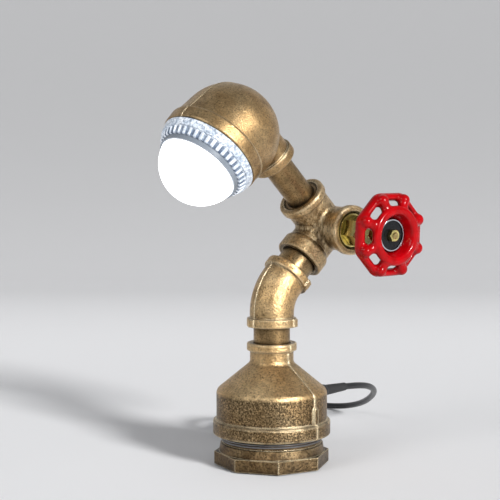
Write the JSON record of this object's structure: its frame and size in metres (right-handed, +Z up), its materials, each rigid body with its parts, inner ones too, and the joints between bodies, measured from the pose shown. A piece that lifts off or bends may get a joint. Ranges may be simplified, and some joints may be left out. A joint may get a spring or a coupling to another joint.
{
  "type": "industrial pipe table lamp",
  "caption": "Table lamp screwed together from bronze-painted iron pipe fittings, with a dome bulb in a reducing elbow and a red valve handwheel as its rotary switch.",
  "frame": {"origin": "centre of the foot pad where the lamp stands on the table", "axes": "+Z up through the base, -Y towards the viewer, +X to the viewer's right, the side of the handwheel"},
  "size_m": [0.1883, 0.3003, 0.2801],
  "materials": {
    "cast_bronze": "bronze-gold metallic paint over a rough sand casting",
    "pipe_bronze": "satin bronze paint on smooth pipe",
    "valve_brass": "machined, bright",
    "stem_brass": "turned",
    "wheel_red": "thick gloss enamel",
    "wheel_plate": "dark face with a bright rim",
    "packing": "fluoropolymer packing",
    "switch_plastic": "moulded",
    "terminal_plastic": "moulded",
    "lead_pvc": "smooth sheath",
    "gland_black": "moulded nylon",
    "boot_black": "moulded",
    "cord_black": "smooth round PVC sheath",
    "plug_black": "moulded",
    "pin_nickel": "nickel plated",
    "pad_black": "thin anti-slip pad",
    "holder_ceramic": "unglazed",
    "seat_steel": "zinc plated",
    "cap_aluminium": "rolled screw shell",
    "contact_brass": "solder tipped",
    "housing_white": "moulded",
    "ring_clear": "clear, its slope cut in facets",
    "collar_grey": "satin grey",
    "board_white": "white solder resist with LED chips",
    "dome_glow": "opal diffuser, lit"
  },
  "bodies": {
    "base": {"foot_pad": "pad_black", "foot_bush": "cast_bronze", "bell_reducer": "cast_bronze", "base_nipple": "pipe_bronze", "terminal_block": "terminal_plastic", "base_lead": "lead_pvc", "inlet_lead": "lead_pvc", "cord_gland": "gland_black", "gland_locknut": "gland_black", "cord_boot": "boot_black", "cord": "cord_black", "cord_coil": "cord_black", "plug_body": "plug_black", "plug_pins": "pin_nickel"},
    "elbow": {"elbow_45": "cast_bronze", "elbow_nipple": "pipe_bronze", "elbow_lead": "lead_pvc"},
    "corner": {"corner_fitting": "cast_bronze", "arm_bush": "pipe_bronze", "arm_nipple": "pipe_bronze", "corner_lead": "lead_pvc", "valve_bonnet": "valve_brass", "packing_ring": "packing", "packing_nut": "valve_brass", "rotary_switch": "switch_plastic"},
    "wheel": {"valve_stem": "stem_brass", "handwheel": "wheel_red", "wheel_disc": "wheel_plate", "wheel_nut": "valve_brass"},
    "head": {"head_elbow": "cast_bronze", "head_lead": "lead_pvc", "holder_plate": "seat_steel", "holder_screws": "seat_steel", "lamp_holder": "holder_ceramic", "bulb_cap": "cap_aluminium", "bulb_contact": "contact_brass", "bulb_housing": "housing_white", "bulb_ring": "ring_clear", "bulb_collar": "collar_grey", "led_board": "board_white", "bulb_dome": "dome_glow"}
  },
  "joints": [
    {"name": "elbow_swivel", "type": "hinge", "parent": "base", "child": "elbow", "pos_m": [0, 0, 0.1258], "axis": [0, 0, 1], "range_deg": [-60, 60]},
    {"name": "corner_swivel", "type": "hinge", "parent": "elbow", "child": "corner", "pos_m": [0, 0, 0.1258], "axis": [0.5721, 0.4156, 0.7071], "range_deg": [-45, 45]},
    {"name": "head_swivel", "type": "hinge", "parent": "corner", "child": "head", "pos_m": [0.0393, 0.02855, 0.17438], "axis": [-0.5405, -0.4574, 0.7061], "range_deg": [-90, 90]},
    {"name": "wheel_turn", "type": "hinge", "parent": "corner", "child": "wheel", "pos_m": [0.0393, 0.02855, 0.17438], "axis": [0.6169, -0.7862, -0.037], "range_deg": [0, 270]}
  ]
}
